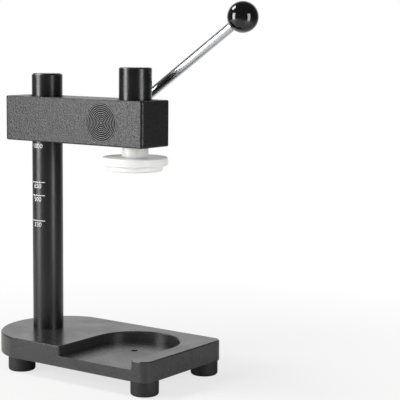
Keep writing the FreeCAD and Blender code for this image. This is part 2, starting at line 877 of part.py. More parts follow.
def make_head_screw():
    size = s.head_screw_size
    head = size * s.screw_head_share
    body = cap_screw("head_screw", size, s.head_screw_web + s.head_screw_grip, head, size)
    place(body, 0, 0, arm_underside + s.spigot_length - s.head_screw_web, 180)


# ---- pinion and lever ---------------------------------------------------------------------------

def make_pinion_shaft():
    """The pinion and its shaft in one piece. At rest a tooth space points along +X, at the rack."""
    body = new_body("pinion_shaft")
    seat = s.hub_seat_diameter / 2
    tail = s.cap_flange + s.hole_end_gap / 2 - arm_rear
    end = hub_rear - s.hole_end_gap / 2
    tap = s.hub_screw_size / 2 + s.seat_gap
    depth = end - s.hub_screw_grip - s.hole_end_gap
    bevel = journal_radius / 16
    corners = [(0, tail), (journal_radius - bevel, tail), (journal_radius, tail + bevel),
               (journal_radius, -gear_half), (tip_radius, -gear_half), (tip_radius, gear_half),
               (journal_radius, gear_half), (journal_radius, hub_front), (seat, hub_front),
               (seat, end - bevel), (seat - bevel, end), (tap, end), (tap, depth), (0, depth)]
    turn_profile(body, "turning", corners)

    sketch = new_sketch(body, "space_outline", "XY_Plane", -gear_half)
    draw_tooth_space(sketch)
    space = pocket(body, "tooth_space", sketch, s.gear_width, True)
    pattern = body.newObject("PartDesign::PolarPattern", "teeth")
    pattern.Originals = [space]
    pattern.Axis = (sketch, ["N_Axis"])
    pattern.Angle = 360
    bind(pattern, "Occurrences", s.gear_teeth)
    body.Tip = pattern
    doc.recompute()
    place(body, pinion_x, 0, axis_level, 0, -90)


def draw_tooth_space(sketch):
    """The space between two teeth, centred on +X. Each flank is an arc through three points of the
    involute, and runs straight in from the base circle to the root."""
    lean = math.radians(s.pressure_angle.number)
    base = pitch_radius.number * math.cos(lean)
    root_half = math.pi / (2 * s.gear_teeth.number) - (math.tan(lean) - lean)
    outside = tip_radius.number + s.gear_module.number / 4

    def flank(radius, side):
        swing = math.acos(min(base / radius, 1))
        angle = side * (root_half + math.tan(swing) - swing)
        return FreeCAD.Vector(radius * math.cos(angle), radius * math.sin(angle), 0)

    def root_point(side):
        reach = root_radius.number
        return FreeCAD.Vector(reach * math.cos(root_half), side * reach * math.sin(root_half), 0)

    for side in (-1, 1):
        start, middle, tip = [flank(radius, side) for radius in (base, (base + outside) / 2, outside)]
        sketch.addGeometry(Part.LineSegment(root_point(side), start), False)
        sketch.addGeometry(Part.Arc(start, middle, tip), False)
    sketch.addGeometry(Part.LineSegment(flank(outside, -1), flank(outside, 1)), False)
    sketch.addGeometry(Part.LineSegment(root_point(1), root_point(-1)), False)
    for item in range(sketch.GeometryCount):
        rule(sketch, "Block", item)


def make_disc_spring():
    """A coned spring washer that presses the hub and the arm apart, so that the lever stays put."""
    body = new_body("disc_spring")
    inner = journal_radius + s.running_fit * 2
    outer = s.thrust_washer_diameter / 2
    thick = s.disc_spring_thickness
    rise = s.disc_spring_height - thick
    corners = [(inner, rise), (outer, 0), (outer, thick), (inner, rise + thick)]
    turn_profile(body, "cone", corners)
    place(body, pinion_x, arm_rear + s.thrust_washer_thickness, axis_level, 0, -90)


def make_lever_hub():
    """The hub on the pinion shaft: a flat on its rim seats the rod, which is screwed in beside
    the shaft. The body's X axis runs along the rod."""
    body = new_body("lever_hub")
    rim = s.hub_diameter / 2
    bore = s.hub_seat_diameter / 2 + s.seat_gap
    bevel = s.hub_chamfer
    width = s.hub_width
    corners = [(bore, 0), (rim - bevel, 0), (rim, bevel), (rim, width - bevel), (rim - bevel, width),
               (bore, width)]
    turn_profile(body, "turning", corners)
    outside = rim + s.hole_end_gap
    flat = new_sketch(body, "flat_outline", "XY_Plane", width)
    draw_polygon(flat, [(s.hub_flat, -outside), (outside, -outside), (outside, -rod_shoulder_edge),
                        (s.hub_flat, -rod_shoulder_edge)])
    pocket(body, "rod_flat", flat, width)
    drill(body, "rod_hole", "YZ_Plane", -s.rod_offset, width / 2, s.rod_thread / 2 + s.seat_gap,
          s.hub_flat, s.rod_grip + s.hole_end_gap)
    drill(body, "set_screw_hole", "XZ_Plane", 0, width / 2, s.set_screw_size / 2 + s.seat_gap,
          -outside, outside - bore / 2, True)
    place(body, pinion_x, hub_front, axis_level, -s.lever_angle, -90)


def make_set_screw():
    """The grub screw that locks the hub to the shaft."""
    body = new_body("hub_set_screw")
    radius = s.set_screw_size / 2
    bevel = radius / 4
    length = s.set_screw_length
    corners = [(0, 0), (radius - bevel, 0), (radius, bevel), (radius, length), (0, length)]
    turn_profile(body, "stud", corners)
    sketch = new_sketch(body, "socket_outline", "XY_Plane", length)
    draw_polygon(sketch, hexagon(s.set_screw_size / 2))
    pocket(body, "socket", sketch, length / 3)
    start = s.hub_seat_diameter / 2
    place(body, pinion_x + sine(s.lever_angle) * start, rod_level,
          axis_level - cosine(s.lever_angle) * start, 180 - s.lever_angle)


def make_hub_washer():
    body = washer("hub_washer", s.hub_screw_size / 2 + s.seat_gap * 2, s.hub_washer_diameter / 2,
                  s.hub_washer_thickness)
    place(body, pinion_x, hub_rear, axis_level, 0, -90)


def make_hub_screw():
    size = s.hub_screw_size
    head = size * s.screw_head_share
    body = cap_screw("hub_screw", size, s.hub_washer_thickness + s.hub_screw_grip, head, size)
    place(body, pinion_x, hub_rear + s.hub_washer_thickness, axis_level, 0, -90)


def make_lever_rod():
    """A bright rod, stepped down at both ends to its threads."""
    body = new_body("lever_rod")
    radius = s.rod_diameter / 2
    thread = s.rod_thread / 2
    bevel = radius / 6
    near = s.hub_flat
    far = s.lever_reach - ball_flat_distance
    corners = [(0, near - s.rod_grip), (thread, near - s.rod_grip), (thread, near),
               (radius - bevel, near), (radius, near + bevel), (radius, far - bevel),
               (radius - bevel, far), (thread, far), (thread, far + rod_in_ball),
               (0, far + rod_in_ball)]
    turn_profile(body, "turning", corners)
    place_on_lever(body, 0)


def make_ball_knob():
    """A moulded ball with a flat for the rod and a bore for its threaded insert."""
    body = new_body("ball_knob")
    radius = s.ball_diameter / 2
    bore = s.insert_diameter / 2 + s.seat_gap
    sketch = new_sketch(body, "ball_outline")
    flat = ball_flat_distance
    depth = s.insert_length + s.hole_end_gap - flat
    corners = [(0, radius), (0, depth), (bore, depth), (bore, -flat), (s.ball_flat / 2, -flat)]
    draw_chain(sketch, corners)
    low = math.degrees(math.atan2(-flat.number, s.ball_flat.number / 2))
    arc = draw_arc(sketch, 0, 0, radius, low, 90)
    join_ends(sketch, (0, 2, 1, 1), (1, 2, 2, 1), (2, 2, 3, 1), (3, 2, arc, 1), (arc, 2, 0, 1))
    fix_round(sketch, arc, 0, 0, radius)
    rule(sketch, "PointOnObject", 0, 1, -2)
    for item, (x, y) in enumerate(corners[1:4], start=1):
        pin_point(sketch, item, 1, x, y)
    rule(sketch, "Horizontal", 3)
    feature = body.newObject("PartDesign::Revolution", "ball")
    feature.Profile = sketch
    feature.ReferenceAxis = (sketch, ["V_Axis"])
    feature.Angle = 360
    doc.recompute()
    place_on_lever(body, s.lever_reach)


def make_ball_insert():
    """The brass thread insert moulded into the ball."""
    body = new_body("ball_insert")
    bore = s.rod_thread / 2 + s.seat_gap
    outer = s.insert_diameter / 2
    length = s.insert_length
    floor = rod_in_ball + s.hole_end_gap / 2
    corners = [(bore, 0), (outer, 0), (outer, length), (0, length), (0, floor), (bore, floor)]
    turn_profile(body, "turning", corners)
    place_on_lever(body, s.lever_reach - ball_flat_distance)


def place_on_lever(body, distance):
    """Lays a piece's Z axis along the rod, its origin this far out from beside the pinion shaft."""
    along = cosine(s.lever_angle)
    rise = sine(s.lever_angle)
    x = pinion_x + along * distance - rise * s.rod_offset
    z = axis_level + rise * distance + along * s.rod_offset
    place(body, x, rod_level, z, 90 - s.lever_angle)


# ---- build, check and write ---------------------------------------------------------------------

def make_everything():
    make_base_plate()
    for across, y in (("front", -foot_side), ("rear", foot_side)):
        for along, x in (("left", foot_left), ("right", foot_right)):
            make_foot(f"foot_{across}_{along}", x, y)
    make_foot_washers()
    make_foot_screws()
    make_column()
    make_column_screw()
    make_arm_block()
    make_liner("lower_liner", arm_underside + s.liner_inset)
    make_liner("upper_liner", arm_top - s.liner_inset - s.liner_length)
    make_ram_bush("lower_ram_bush", arm_underside)
    make_ram_bush("upper_ram_bush", arm_top - s.ram_bush_length)
    make_pinion_cap()
    rear_front = gear_half + s.gear_side_gap
    make_pinion_bush("front_pinion_bush", s.cap_flange - arm_rear, arm_rear - s.cap_flange - rear_front)
    make_pinion_bush("rear_pinion_bush", rear_front, arm_rear - rear_front)
    make_thrust_washer()
    make_clamp_pad()
    make_clamp_screw()
    make_clamp_knob()
    make_ram()
    make_press_head()
    make_head_screw()
    make_pinion_shaft()
    make_disc_spring()
    make_lever_hub()
    make_set_screw()
    make_hub_washer()
    make_hub_screw()
    make_lever_rod()
    make_ball_knob()
    make_ball_insert()


def check_everything():
    for item in doc.Objects:
        bad = [word for word in item.State if word in ("Invalid", "Error")]
        if bad:
            raise RuntimeError(f"{item.Label} is {bad[0]}")


def write_everything():
    os.makedirs("parts", exist_ok=True)
    for body in doc.findObjects("PartDesign::Body"):
        if body.Shape.isNull() or not body.Shape.isValid():
            raise RuntimeError(f"{body.Label} has no sound shape")
        body.Shape.exportStep(f"parts/{body.Label}.step")
        print(body.Label, len(body.Shape.Solids), round(body.Shape.Volume, 1))


make_everything()
doc.recompute()
check_everything()
write_everything()
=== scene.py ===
import math

import bmesh
import bpy
from mathutils import Matrix, Vector


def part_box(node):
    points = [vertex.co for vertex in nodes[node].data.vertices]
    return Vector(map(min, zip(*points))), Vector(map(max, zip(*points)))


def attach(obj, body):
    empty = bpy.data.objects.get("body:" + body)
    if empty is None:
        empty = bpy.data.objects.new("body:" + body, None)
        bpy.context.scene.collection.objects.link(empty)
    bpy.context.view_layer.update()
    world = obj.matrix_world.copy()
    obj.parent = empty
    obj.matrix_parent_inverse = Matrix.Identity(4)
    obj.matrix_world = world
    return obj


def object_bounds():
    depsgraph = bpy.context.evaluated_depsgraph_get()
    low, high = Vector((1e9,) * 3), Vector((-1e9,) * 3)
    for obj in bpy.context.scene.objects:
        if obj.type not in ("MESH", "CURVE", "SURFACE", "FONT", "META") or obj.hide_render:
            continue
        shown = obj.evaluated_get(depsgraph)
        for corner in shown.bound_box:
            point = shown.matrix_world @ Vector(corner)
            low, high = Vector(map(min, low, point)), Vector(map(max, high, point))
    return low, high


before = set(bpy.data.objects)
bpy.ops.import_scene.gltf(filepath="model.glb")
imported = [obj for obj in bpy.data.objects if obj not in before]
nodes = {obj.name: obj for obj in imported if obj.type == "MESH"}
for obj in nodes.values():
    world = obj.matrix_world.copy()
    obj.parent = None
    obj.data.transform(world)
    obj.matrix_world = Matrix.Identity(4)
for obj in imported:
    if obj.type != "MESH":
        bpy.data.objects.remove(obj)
cad_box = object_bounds()
MM = 0.001


# ---- small aids ---------------------------------------------------------------------------------

def linear(code, alpha=1.0):
    """An sRGB hex colour as the linear values that a shader takes."""
    out = []
    for place in (0, 2, 4):
        part = int(code[place:place + 2], 16) / 255
        out.append(part / 12.92 if part <= 0.04045 else ((part + 0.055) / 1.055) ** 2.4)
    return (*out, alpha)


def add_node(tree, kind, values=None, links=None, **settings):
    """Adds a node: values go to its input sockets, links join other nodes' sockets to them."""
    node = tree.nodes.new(kind)
    for name, value in settings.items():
        setattr(node, name, value)
    for socket, value in (values or {}).items():
        node.inputs[socket].default_value = value
    for socket, source in (links or {}).items():
        tree.links.new(source, node.inputs[socket])
    return node


def new_material(name, colour, roughness, metallic=0.0, **sockets):
    """A material with a Principled shader, ready for the nodes that pattern it."""
    finish = bpy.data.materials.new(name)
    finish.use_nodes = True
    tree = finish.node_tree
    tree.nodes.clear()
    shader = add_node(tree, "ShaderNodeBsdfPrincipled")
    shader.inputs["Base Color"].default_value = linear(colour)
    shader.inputs["Roughness"].default_value = roughness
    shader.inputs["Metallic"].default_value = metallic
    for socket, value in sockets.items():
        shader.inputs[socket.replace("_", " ")].default_value = value
    add_node(tree, "ShaderNodeOutputMaterial", links={"Surface": shader.outputs["BSDF"]})
    place = add_node(tree, "ShaderNodeTexCoord").outputs["Object"]
    return finish, tree, shader, place


def spread(tree, source, low, high, out_low, out_high):
    """Maps a pattern's range to the range that a socket takes."""
    return add_node(tree, "ShaderNodeMapRange", links={"Value": source},
                    values={"From Min": low, "From Max": high, "To Min": out_low, "To Max": out_high}
                    ).outputs["Result"]


def noise(tree, place, size_mm, detail=3.0, stretch=(1, 1, 1)):
    """Noise whose features are about size_mm across; stretch makes it longer along an axis."""
    if stretch != (1, 1, 1):
        scale = tuple(1 / part for part in stretch)
        place = add_node(tree, "ShaderNodeMapping", values={"Scale": scale},
                         links={"Vector": place}).outputs["Vector"]
    return add_node(tree, "ShaderNodeTexNoise", links={"Vector": place},
                    values={"Scale": 1 / (size_mm * MM), "Detail": detail, "Roughness": 0.55}
                    ).outputs["Fac"]


def emboss(tree, shader, height, depth_mm, strength=1.0, under=None):
    """Raises the surface by a pattern that is depth_mm from valley to peak."""
    links = {"Height": height}
    if under is not None:
        links["Normal"] = under
    bump = add_node(tree, "ShaderNodeBump", links=links,
                    values={"Strength": strength, "Distance": depth_mm * MM})
    tree.links.new(bump.outputs["Normal"], shader.inputs["Normal"])
    return bump.outputs["Normal"]


# ---- finishes -----------------------------------------------------------------------------------

def textured_powder_coat():
    """Leather-grain polyester powder coat on the arm: small hard pebbles that catch a dull light, with
    a painted highlight on their tops and painted shade in the hollows between them.
    """
    finish, tree, shader, place = new_material("textured_powder_coat", "101011", 0.4)
    # The pebbles are about 1.6 mm apart, a little coarser than the real coat, so that they show.
    drift = noise(tree, place, 5, 2.0)
    bent = add_node(tree, "ShaderNodeVectorMath", operation="MULTIPLY_ADD",
                    links={0: drift, 2: place}, values={1: (0.0016, 0.0016, 0.0016)}).outputs["Vector"]
    cells = add_node(tree, "ShaderNodeTexVoronoi", feature="SMOOTH_F1", links={"Vector": bent},
                     values={"Scale": 1 / (1.6 * MM), "Smoothness": 0.5}).outputs["Distance"]
    grain = noise(tree, place, 1.3, 2.0)
    height = add_node(tree, "ShaderNodeMath", operation="MULTIPLY_ADD",
                      links={0: cells, 2: grain}, values={1: -0.7}).outputs["Value"]
    emboss(tree, shader, height, 0.3)
    tree.links.new(spread(tree, cells, 0.1, 0.7, 0.25, 0.4), shader.inputs["Roughness"])
    # Painted highlight and shade: the pebble tops are painted lighter (161617) and the hollows between
    # them darker (070708).
    tone = add_node(tree, "ShaderNodeValToRGB", links={"Fac": cells})
    tone.color_ramp.elements[0].position = 0.15
    tone.color_ramp.elements[0].color = linear("161617")
    tone.color_ramp.elements[1].position = 0.75
    tone.color_ramp.elements[1].color = linear("070708")
    tree.links.new(tone.outputs["Color"], shader.inputs["Base Color"])
    return finish


def blasted_anodised_aluminium(name, colour, roughness):
    """Bead-blasted aluminium with a black anodised skin: an even satin with a fine sparkle, painted
    into the colour as a lighter tone on the raised parts of the dimple pattern.
    """
    finish, tree, shader, place = new_material(name, colour, roughness)
    # Glass-bead dimples, drawn at 0.35 mm, coarser than the real ones, so that they show.
    dimples_and_painted_sparkle = noise(tree, place, 0.35, 2.0)
    emboss(tree, shader, dimples_and_painted_sparkle, 0.012)
    cloud = noise(tree, place, 30, 3.0)
    tree.links.new(spread(tree, cloud, 0.3, 0.7, roughness - 0.05, roughness + 0.05),
                   shader.inputs["Roughness"])
    # Painted sparkle: the raised parts of the dimple pattern are painted up to 1.35 times lighter.
    tone = add_node(tree, "ShaderNodeValToRGB", links={"Fac": dimples_and_painted_sparkle})
    tone.color_ramp.elements[0].position = 0.3
    tone.color_ramp.elements[0].color = linear(colour)
    tone.color_ramp.elements[1].position = 0.7
    tone.color_ramp.elements[1].color = tuple(1.35 * part for part in linear(colour)[:3]) + (1.0,)
    tree.links.new(tone.outputs["Color"], shader.inputs["Base Color"])
    return finish


def rings_with_painted_glint(finish, centre, rim, pitch_mm, dark, painted_glint_colour):
    """Rings on a face that looks along Y: dark, with a painted glint, a light line painted on the
    crests between the grooves.
    """
    tree = finish.node_tree
    shader = next(node for node in tree.nodes if node.bl_idname == "ShaderNodeBsdfPrincipled")
    place = next(node for node in tree.nodes if node.bl_idname == "ShaderNodeTexCoord")
    offset = add_node(tree, "ShaderNodeVectorMath", operation="SUBTRACT",
                      links={0: place.outputs["Object"]}, values={1: centre})
    flat = add_node(tree, "ShaderNodeVectorMath", operation="MULTIPLY",
                    links={0: offset.outputs["Vector"]}, values={1: (1, 0, 1)})
    radius = add_node(tree, "ShaderNodeVectorMath", operation="LENGTH",
                      links={0: flat.outputs["Vector"]}).outputs["Value"]
    turns = add_node(tree, "ShaderNodeMath", operation="SUBTRACT", links={1: radius},
                     values={0: rim}).outputs["Value"]
    angle = add_node(tree, "ShaderNodeMath", operation="MULTIPLY", links={0: turns},
                     values={1: 2 * math.pi / (pitch_mm * MM)}).outputs["Value"]
    wave = add_node(tree, "ShaderNodeMath", operation="COSINE", links={0: angle}).outputs["Value"]
    # Painted glint: the crests between the grooves are painted light, in place of the glint that the
    # groove edges catch.
    painted_glint_share = spread(tree, wave, -0.95, -0.55, 1.0, 0.0)
    mixed = add_node(tree, "ShaderNodeMix", data_type="RGBA", links={0: painted_glint_share},
                     values={6: linear(dark), 7: linear(painted_glint_colour)})
    tree.links.new(mixed.outputs[2], shader.inputs["Base Color"])
    shader.inputs["Specular IOR Level"].default_value = 0.2


def blackened_steel(name, colour, roughness, lay_mm):
    """Ground and blackened steel bar: dark, with fine grinding lines round the bar."""
    finish, tree, shader, place = new_material(name, colour, roughness)
    lines = noise(tree, place, lay_mm, 2.0, (60, 60, 1))
    emboss(tree, shader, lines, 0.0015)
    wear = noise(tree, place, 18, 4.0)
    tree.links.new(spread(tree, wear, 0.3, 0.7, roughness - 0.04, roughness + 0.06),
                   shader.inputs["Roughness"])
    tone = add_node(tree, "ShaderNodeValToRGB", links={"Fac": lines})
    tone.color_ramp.elements[0].position = 0.25
    tone.color_ramp.elements[0].color = linear(colour)
    tone.color_ramp.elements[1].position = 0.75
    tone.color_ramp.elements[1].color = tuple(1.5 * part for part in linear(colour)[:3]) + (1.0,)
    tree.links.new(tone.outputs["Color"], shader.inputs["Base Color"])
    return finish


def polished_chrome():
    """Decorative chrome plating over polished steel: a mirror with faint polishing scratches."""
    finish, tree, shader, place = new_material("polished_chrome", "d6d7d9", 0.2, 1.0)
    scratches = noise(tree, place, 1.5, 2.0, (8, 8, 1))
    emboss(tree, shader, scratches, 0.0003)
    tree.links.new(spread(tree, noise(tree, place, 12, 3.0), 0.3, 0.7, 0.18, 0.24),
                   shader.inputs["Roughness"])
    return finish


def moulded_phenolic():
    """Moulded and buffed phenolic resin: deep black with a wet gloss and a hint of orange peel."""
    finish, tree, shader, place = new_material("moulded_phenolic", "0a0a0b", 0.07, IOR=1.52,
                                               Coat_Weight=0.25, Coat_Roughness=0.03)
    emboss(tree, shader, noise(tree, place, 6, 1.0), 0.01)
    tree.links.new(spread(tree, noise(tree, place, 2.5, 4.0), 0.35, 0.7, 0.05, 0.11),
                   shader.inputs["Roughness"])
    return finish


def turned_acetal():
    """White acetal turned on a lathe: a soft waxy white with fine feed lines round its axis."""
    finish, tree, shader, place = new_material("turned_acetal", "ececea", 0.34, IOR=1.48,
                                               Subsurface_Weight=0.12, Subsurface_Scale=0.002)
    parts = add_node(tree, "ShaderNodeSeparateXYZ", links={"Vector": place})
    across = add_node(tree, "ShaderNodeMath", operation="MULTIPLY",
                      links={0: parts.outputs["X"], 1: parts.outputs["X"]}).outputs["Value"]
    across = add_node(tree, "ShaderNodeMath", operation="MULTIPLY_ADD",
                      links={0: parts.outputs["Y"], 1: parts.outputs["Y"], 2: across}
                      ).outputs["Value"]
    radius = add_node(tree, "ShaderNodeMath", operation="SQRT", links={0: across}).outputs["Value"]
    sweep = add_node(tree, "ShaderNodeMath", operation="ADD",
                     links={0: radius, 1: parts.outputs["Z"]}).outputs["Value"]
    # One turn of the lathe feeds the tool 0.25 mm.
    angle = add_node(tree, "ShaderNodeMath", operation="MULTIPLY", links={0: sweep},
                     values={1: 2 * math.pi / (0.25 * MM)}).outputs["Value"]
    lines = add_node(tree, "ShaderNodeMath", operation="SINE", links={0: angle}).outputs["Value"]
    emboss(tree, shader, lines, 0.003)
    cloud = noise(tree, place, 9, 3.0)
    tree.links.new(spread(tree, cloud, 0.3, 0.7, 0.3, 0.4), shader.inputs["Roughness"])
    return finish


def moulded_rubber():
    """Black nitrile rubber: matt, with a dusty bloom and the faint grain of its mould."""
    finish, tree, shader, place = new_material("moulded_rubber", "141414", 0.6, IOR=1.5)
    grain = noise(tree, place, 0.5, 3.0)
    emboss(tree, shader, grain, 0.02)
    bloom = noise(tree, place, 7, 4.0)
    tree.links.new(spread(tree, bloom, 0.3, 0.7, 0.55, 0.72), shader.inputs["Roughness"])
    tone = add_node(tree, "ShaderNodeValToRGB", links={"Fac": bloom})
    tone.color_ramp.elements[0].position = 0.35
    tone.color_ramp.elements[0].color = linear("101010")
    tone.color_ramp.elements[1].position = 0.75
    tone.color_ramp.elements[1].color = linear("191919")
    tree.links.new(tone.outputs["Color"], shader.inputs["Base Color"])
    return finish


def moulded_nylon():
    """Glass-filled nylon of the clamp knob: a fine spark-eroded grain, satin black."""
    finish, tree, shader, place = new_material("moulded_nylon", "1a1a1b", 0.48, IOR=1.53)
    emboss(tree, shader, noise(tree, place, 0.6, 2.0), 0.03)
    tree.links.new(spread(tree, noise(tree, place, 5, 3.0), 0.3, 0.7, 0.42, 0.56),
                   shader.inputs["Roughness"])
    return finish


def turned_bearing_plastic():
    """Dark grey cast nylon of the column's liners and the ram's bushes."""
    finish, tree, shader, place = new_material("turned_bearing_plastic", "2c2d2f", 0.5, IOR=1.53)
    emboss(tree, shader, noise(tree, place, 0.25, 2.0, (20, 20, 1)), 0.006)
    tree.links.new(spread(tree, noise(tree, place, 4, 3.0), 0.3, 0.7, 0.45, 0.58),
                   shader.inputs["Roughness"])
    return finish


def turned_metal(name, colour, roughness, lay_mm):
    """Bare or plated turned metal: short tool lines and an uneven shine."""
    finish, tree, shader, place = new_material(name, colour, roughness, 1.0)
    emboss(tree, shader, noise(tree, place, lay_mm, 3.0), 0.004)
    tree.links.new(spread(tree, noise(tree, place, 3, 3.0), 0.3, 0.7, roughness - 0.06,
                          roughness + 0.08), shader.inputs["Roughness"])
    return finish


def printed_ink():
    """White pad-printed epoxy ink, thin and slightly uneven in cover."""
    finish, tree, shader, place = new_material("printed_ink", "e2e2df", 0.5)
    cover = noise(tree, place, 0.4, 3.0)
    tone = add_node(tree, "ShaderNodeValToRGB", links={"Fac": cover})
    tone.color_ramp.elements[0].position = 0.3
    tone.color_ramp.elements[0].color = linear("c9c9c6")
    tone.color_ramp.elements[1].position = 0.55
    tone.color_ramp.elements[1].color = linear("ececea")
    tree.links.new(tone.outputs["Color"], shader.inputs["Base Color"])
    emboss(tree, shader, cover, 0.01)
    return finish


base_finish = blasted_anodised_aluminium("blasted_anodised_aluminium", "2c2c2d", 0.28)
cap_finish = blasted_anodised_aluminium("turned_anodised_aluminium", "0a0a0b", 0.45)
cap_low, cap_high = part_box("pinion_cap")
CAP_RING_PITCH = 1.8
# The ring colours are dark 0a0a0b with a painted glint of 8e8e90 on the crests.
rings_with_painted_glint(cap_finish, tuple((cap_low + cap_high) / 2), (cap_high.z - cap_low.z) / 2,
             CAP_RING_PITCH, "0a0a0b", "8e8e90")
steel_finish = turned_metal("zinc_plated_steel", "b4b7bb", 0.3, 0.3)
spring_finish = turned_metal("hardened_spring_steel", "6d6f74", 0.34, 0.3)
column_finish = blackened_steel("blackened_ground_steel", "101011", 0.31, 0.25)
ram_finish = blackened_steel("blackened_polished_steel", "0d0d0e", 0.27, 0.15)
brass_finish = turned_metal("turned_brass", "d0a860", 0.28, 0.3)
bronze_finish = turned_metal("sintered_bronze", "a0714a", 0.42, 0.4)
rubber_finish = moulded_rubber()
bearing_finish = turned_bearing_plastic()
ink_finish = printed_ink()

FINISHES = {
    base_finish: ["base_plate"],
    cap_finish: ["pinion_cap"],
    textured_powder_coat(): ["arm_block"],
    rubber_finish: ["foot_front_left", "foot_front_right", "foot_rear_left", "foot_rear_right"],
    steel_finish: ["foot_washers", "foot_screws", "column_screw", "thrust_washer", "clamp_screw",
                   "head_screw", "pinion_shaft", "hub_set_screw", "hub_washer", "hub_screw"],
    spring_finish: ["disc_spring"],
    column_finish: ["column", "lever_hub"],
    ram_finish: ["ram"],
    bearing_finish: ["lower_liner", "upper_liner", "lower_ram_bush", "upper_ram_bush"],
    bronze_finish: ["front_pinion_bush", "rear_pinion_bush"],
    brass_finish: ["clamp_pad", "ball_insert"],
    moulded_nylon(): ["clamp_knob"],
    turned_acetal(): ["press_head"],
    polished_chrome(): ["lever_rod"],
    moulded_phenolic(): ["ball_knob"],
}
for finish, names in FINISHES.items():
    for name in names:
        slots = nodes[name].data.materials
        slots.clear()
        slots.append(finish)


# ---- printed marks on the column ----------------------------------------------------------------

# Height above the base plate of each mark's upper edge, its number, and whether a line goes with it.
HEIGHT_MARKS = [(0.1855, "1000", False), (0.1461, "650", True), (0.1331, "500", True),
                (0.1081, "330", True)]
MARK_LENGTH = 0.0166
LINE_THICKNESS = 0.0007
NUMBER_SIZE = 0.0062
NUMBER_DROP = 0.0009
INK_LIFT = 0.00008


def marks_tree():
    """Lines and plain numbers, laid flat and then wrapped round the front of the column."""
    tree = bpy.data.node_groups.new("wrapped_marks", "GeometryNodeTree")
    for name, kind in (("Radius", "NodeSocketFloat"), ("Foot", "NodeSocketVector"),
                       ("Length", "NodeSocketFloat"), ("Thickness", "NodeSocketFloat"),
                       ("Number Size", "NodeSocketFloat"), ("Ink", "NodeSocketMaterial")):
        tree.interface.new_socket(name, in_out="INPUT", socket_type=kind)
    tree.interface.new_socket("Geometry", in_out="OUTPUT", socket_type="NodeSocketGeometry")
    given = add_node(tree, "NodeGroupInput").outputs
    flat = add_node(tree, "GeometryNodeJoinGeometry")
    for height, number, lined in HEIGHT_MARKS:
        if lined:
            line = add_node(tree, "GeometryNodeMeshGrid", values={"Vertices X": 33, "Vertices Y": 2},
                            links={"Size X": given["Length"], "Size Y": given["Thickness"]})
            up = add_node(tree, "GeometryNodeTransform", values={"Translation": (0, height, 0)},
                          links={"Geometry": line.outputs["Mesh"]})
            tree.links.new(up.outputs["Geometry"], flat.inputs["Geometry"])
        word = add_node(tree, "GeometryNodeStringToCurves", align_x="CENTER", align_y="TOP",
                        values={"String": number}, links={"Size": given["Number Size"]})
        filled = add_node(tree, "GeometryNodeFillCurve",
                          links={"Curve": word.outputs["Curve Instances"]})
        real = add_node(tree, "GeometryNodeRealizeInstances",
                        links={"Geometry": filled.outputs["Mesh"]})
        fine = add_node(tree, "GeometryNodeSubdivideMesh", values={"Level": 2},
                        links={"Mesh": real.outputs["Geometry"]})
        put = add_node(tree, "GeometryNodeTransform", links={"Geometry": fine.outputs["Mesh"]},
                       values={"Translation": (0, height - NUMBER_DROP, 0)})
        tree.links.new(put.outputs["Geometry"], flat.inputs["Geometry"])
    spot = add_node(tree, "ShaderNodeSeparateXYZ", links={
        "Vector": add_node(tree, "GeometryNodeInputPosition").outputs["Position"]})
    angle = add_node(tree, "ShaderNodeMath", operation="DIVIDE",
                     links={0: spot.outputs["X"], 1: given["Radius"]}).outputs["Value"]
    across = add_node(tree, "ShaderNodeMath", operation="SINE", links={0: angle}).outputs["Value"]
    back = add_node(tree, "ShaderNodeMath", operation="COSINE", links={0: angle}).outputs["Value"]
    x = add_node(tree, "ShaderNodeMath", operation="MULTIPLY",
                 links={0: across, 1: given["Radius"]}).outputs["Value"]
    y = add_node(tree, "ShaderNodeMath", operation="MULTIPLY",
                 links={0: back, 1: given["Radius"]}).outputs["Value"]
    y = add_node(tree, "ShaderNodeMath", operation="MULTIPLY", values={1: -1.0},
                 links={0: y}).outputs["Value"]
    around = add_node(tree, "ShaderNodeCombineXYZ",
                      links={"X": x, "Y": y, "Z": spot.outputs["Y"]}).outputs["Vector"]
    place = add_node(tree, "ShaderNodeVectorMath", operation="ADD",
                     links={0: around, 1: given["Foot"]}).outputs["Vector"]
    wrapped = add_node(tree, "GeometryNodeSetPosition",
                       links={"Geometry": flat.outputs["Geometry"], "Position": place})
    inked = add_node(tree, "GeometryNodeSetMaterial",
                     links={"Geometry": wrapped.outputs["Geometry"], "Material": given["Ink"]})
    whole = add_node(tree, "GeometryNodeRealizeInstances",
                     links={"Geometry": inked.outputs["Geometry"]})
    add_node(tree, "NodeGroupOutput", links={"Geometry": whole.outputs["Geometry"]})
    return tree


def grow(name, tree, body, slot_name, **inputs):
    """Runs a tree with these inputs, keeps its result as a plain mesh and rides it on a body."""
    seed = bpy.data.objects.new(name + "_seed", bpy.data.meshes.new(name + "_seed"))
    bpy.context.scene.collection.objects.link(seed)
    grower = seed.modifiers.new("grow", "NODES")
    grower.node_group = tree
    for item in tree.interface.items_tree:
        if item.in_out == "INPUT" and item.name.replace(" ", "_") in inputs:
            grower[item.identifier] = inputs[item.name.replace(" ", "_")]
    graph = bpy.context.evaluated_depsgraph_get()
    mesh = bpy.data.meshes.new_from_object(seed.evaluated_get(graph))
    bpy.data.objects.remove(seed)
    piece = bpy.data.objects.new(name, mesh)
    bpy.context.scene.collection.objects.link(piece)
    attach(piece, body)
    return piece


column_low, column_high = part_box("column")
base_low, base_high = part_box("base_plate")
column_radius = (column_high.x - column_low.x) / 2
grow("height_marks", marks_tree(), "base", "white_acetal", Radius=column_radius + INK_LIFT,
     Foot=((column_low.x + column_high.x) / 2, 0.0, base_high.z), Length=MARK_LENGTH,
     Thickness=LINE_THICKNESS, Number_Size=NUMBER_SIZE, Ink=ink_finish)


# ---- camera, floor, backdrop and lamps ----------------------------------------------------------

bpy.context.scene.view_settings.view_transform = "Standard"

